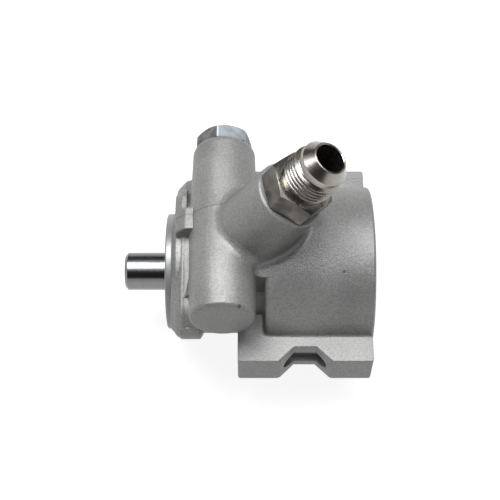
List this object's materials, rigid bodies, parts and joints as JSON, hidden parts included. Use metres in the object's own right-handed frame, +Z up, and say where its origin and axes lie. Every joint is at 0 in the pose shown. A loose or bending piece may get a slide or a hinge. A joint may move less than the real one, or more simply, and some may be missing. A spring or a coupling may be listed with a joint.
{
  "type": "power steering pump",
  "caption": "Vane pump with a press-fit drive shaft, a flow control valve barrel across its front, a flared inlet fitting on a slanted boss and two long drilled ears.",
  "frame": {"origin": "on the shaft axis, in the front face of the two mounting ears, midway between their holes", "axes": "-X out of the shaft's pulley end, +Y along the valve barrel to its outlet, +Z up towards the inlet fitting"},
  "size_m": [0.1095, 0.101, 0.1302],
  "materials": {
    "cast_aluminium": "as cast and bead blasted",
    "machined_aluminium": "turned",
    "ground_steel": "ground",
    "zinc_plate": "zinc plated",
    "nickel_plate": "nickel plated, polished",
    "hardened_steel": "ground and lapped",
    "sintered_steel": "sintered",
    "pressed_steel": "black phosphate",
    "spring_steel": "oiled",
    "bearing_bronze": "bored",
    "black_rubber": "smooth"
  },
  "bodies": {
    "housing": {"pump_housing": "cast_aluminium", "front_bush": "bearing_bronze", "shaft_seal_shell": "pressed_steel", "shaft_seal_lip": "black_rubber", "seal_garter_spring": "spring_steel", "thrust_plate": "sintered_steel", "cam_ring": "hardened_steel", "pressure_plate": "sintered_steel", "pressure_plate_o_ring": "black_rubber", "pressure_plate_spring": "spring_steel", "end_cover": "pressed_steel", "end_cover_o_ring": "black_rubber", "cover_retaining_ring": "spring_steel", "outlet_union": "zinc_plate", "union_o_ring": "black_rubber", "inlet_fitting": "nickel_plate", "inlet_fitting_o_ring": "black_rubber", "dowel_pin_1": "hardened_steel", "dowel_pin_2": "hardened_steel", "flow_valve_spring": "spring_steel"},
    "shaft": {"drive_shaft": "ground_steel", "rotor": "hardened_steel", "shaft_retaining_ring": "spring_steel"},
    "spool": {"flow_valve_spool": "hardened_steel", "relief_plug": "hardened_steel", "relief_spring": "spring_steel"},
    "relief": {"relief_ball": "hardened_steel", "relief_guide": "hardened_steel"},
    "vane_01": {"vane_01": "hardened_steel"},
    "vane_02": {"vane_02": "hardened_steel"},
    "vane_03": {"vane_03": "hardened_steel"},
    "vane_04": {"vane_04": "hardened_steel"},
    "vane_05": {"vane_05": "hardened_steel"},
    "vane_06": {"vane_06": "hardened_steel"},
    "vane_07": {"vane_07": "hardened_steel"},
    "vane_08": {"vane_08": "hardened_steel"},
    "vane_09": {"vane_09": "hardened_steel"},
    "vane_10": {"vane_10": "hardened_steel"}
  },
  "joints": [
    {"name": "shaft_spin", "type": "hinge", "parent": "housing", "child": "shaft", "pos_m": [0, 0, 0], "axis": [1, 0, 0], "continuous": true},
    {"name": "spool_slide", "type": "slide", "parent": "housing", "child": "spool", "axis": [0, -1, 0], "range_m": [0, 0.008], "stiffness_N_per_m": 4000, "springref_m": -0.004, "deforming": ["flow_valve_spring"]},
    {"name": "relief_lift", "type": "slide", "parent": "spool", "child": "relief", "axis": [0, 1, 0], "range_m": [0, 0.0012], "stiffness_N_per_m": 6000, "springref_m": -0.002, "deforming": ["relief_spring"]},
    {"name": "vane_01_slide", "type": "slide", "parent": "shaft", "child": "vane_01", "axis": [0, 0.454, 0.891], "range_m": [-0.001, 0.00026]},
    {"name": "vane_02_slide", "type": "slide", "parent": "shaft", "child": "vane_02", "axis": [0, -0.1564, 0.9877], "range_m": [-0.001, 0.00148]},
    {"name": "vane_03_slide", "type": "slide", "parent": "shaft", "child": "vane_03", "axis": [0, -0.7071, 0.7071], "range_m": [-0.001, 0.00225]},
    {"name": "vane_04_slide", "type": "slide", "parent": "shaft", "child": "vane_04", "axis": [0, -0.9877, 0.1564], "range_m": [-0.001, 0.00148]},
    {"name": "vane_05_slide", "type": "slide", "parent": "shaft", "child": "vane_05", "axis": [0, -0.891, -0.454], "range_m": [-0.001, 0.00026]},
    {"name": "vane_06_slide", "type": "slide", "parent": "shaft", "child": "vane_06", "axis": [0, -0.454, -0.891], "range_m": [-0.001, 0.00026]},
    {"name": "vane_07_slide", "type": "slide", "parent": "shaft", "child": "vane_07", "axis": [0, 0.1564, -0.9877], "range_m": [-0.001, 0.00148]},
    {"name": "vane_08_slide", "type": "slide", "parent": "shaft", "child": "vane_08", "axis": [0, 0.7071, -0.7071], "range_m": [-0.001, 0.00225]},
    {"name": "vane_09_slide", "type": "slide", "parent": "shaft", "child": "vane_09", "axis": [0, 0.9877, -0.1564], "range_m": [-0.001, 0.00148]},
    {"name": "vane_10_slide", "type": "slide", "parent": "shaft", "child": "vane_10", "axis": [0, 0.891, 0.454], "range_m": [-0.001, 0.00026]}
  ]
}
